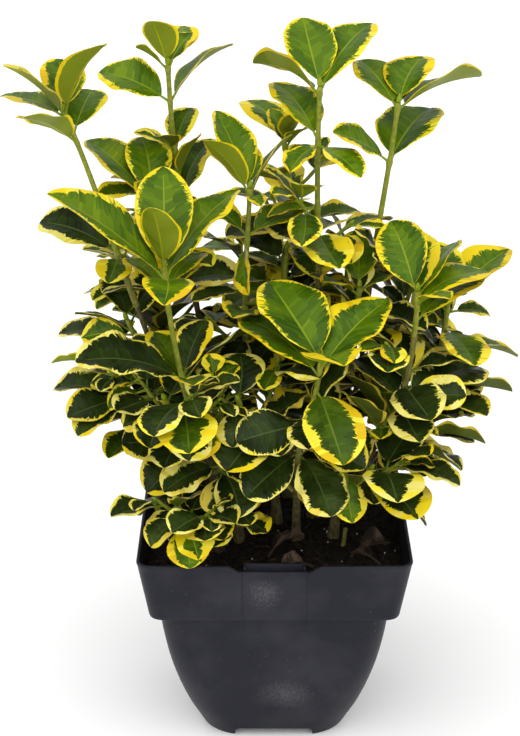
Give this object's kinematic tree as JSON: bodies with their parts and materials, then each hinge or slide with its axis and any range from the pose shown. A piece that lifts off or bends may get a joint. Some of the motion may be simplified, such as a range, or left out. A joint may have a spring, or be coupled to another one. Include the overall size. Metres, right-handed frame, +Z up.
{
  "type": "potted variegated japanese euonymus",
  "caption": "Young evergreen shrub with glossy green leaves edged in yellow, on several stems, in a square dark plastic nursery pot.",
  "frame": {"origin": "centre of the whole plant's bounding box in plan, on the plane that the pot stands on", "axes": "+Z up the stems, -Y towards the pot's dipped front, +X to the right seen from the front"},
  "size_m": [0.3214, 0.255, 0.4603],
  "materials": {
    "pot_plastic": "satin, lightly dusty",
    "potting_soil": "matte, crumbly",
    "stem_bark": "matte",
    "shoot_leaves": "glossy leaf"
  },
  "bodies": {
    "root": {"bough_back": "stem_bark", "bough_back_left": "stem_bark", "bough_back_middle": "stem_bark", "bough_back_right": "stem_bark", "bough_far_left": "stem_bark", "bough_front_right": "stem_bark", "bough_left_low": "stem_bark", "bough_left_rear": "stem_bark", "bough_right": "stem_bark", "bough_right_rear": "stem_bark", "bough_tall_left": "stem_bark", "bough_tall_middle": "stem_bark", "bough_tall_right": "stem_bark", "pot": "pot_plastic", "shoot_back_left": "shoot_leaves", "shoot_back_low": "shoot_leaves", "shoot_back_low_left": "shoot_leaves", "shoot_back_low_right": "shoot_leaves", "shoot_back_middle": "shoot_leaves", "shoot_back_right": "shoot_leaves", "shoot_back_tall": "shoot_leaves", "shoot_dark_left": "shoot_leaves", "shoot_dark_right": "shoot_leaves", "shoot_far_left": "shoot_leaves", "shoot_front": "shoot_leaves", "shoot_front_left": "shoot_leaves", "shoot_front_mid": "shoot_leaves", "shoot_hanging_left": "shoot_leaves", "shoot_inner_front": "shoot_leaves", "shoot_inner_rear": "shoot_leaves", "shoot_inner_right": "shoot_leaves", "shoot_left_rear": "shoot_leaves", "shoot_low_corner": "shoot_leaves", "shoot_low_front": "shoot_leaves", "shoot_low_left": "shoot_leaves", "shoot_low_mid": "shoot_leaves", "shoot_low_right": "shoot_leaves", "shoot_low_side": "shoot_leaves", "shoot_middle": "shoot_leaves", "shoot_rear_left": "shoot_leaves", "shoot_rear_right": "shoot_leaves", "shoot_right": "shoot_leaves", "shoot_right_front": "shoot_leaves", "shoot_side_left": "shoot_leaves", "shoot_side_rear": "shoot_leaves", "shoot_side_right": "shoot_leaves", "shoot_tall_left": "shoot_leaves", "shoot_tall_middle": "shoot_leaves", "shoot_tall_right": "shoot_leaves", "shoot_upper_right": "shoot_leaves", "soil": "potting_soil", "stem_front": "stem_bark", "stem_front_left": "stem_bark", "stem_front_right": "stem_bark", "stem_left": "stem_bark", "stem_middle": "stem_bark", "stem_rear": "stem_bark", "stem_rear_left": "stem_bark", "stem_right": "stem_bark"}
  },
  "joints": []
}
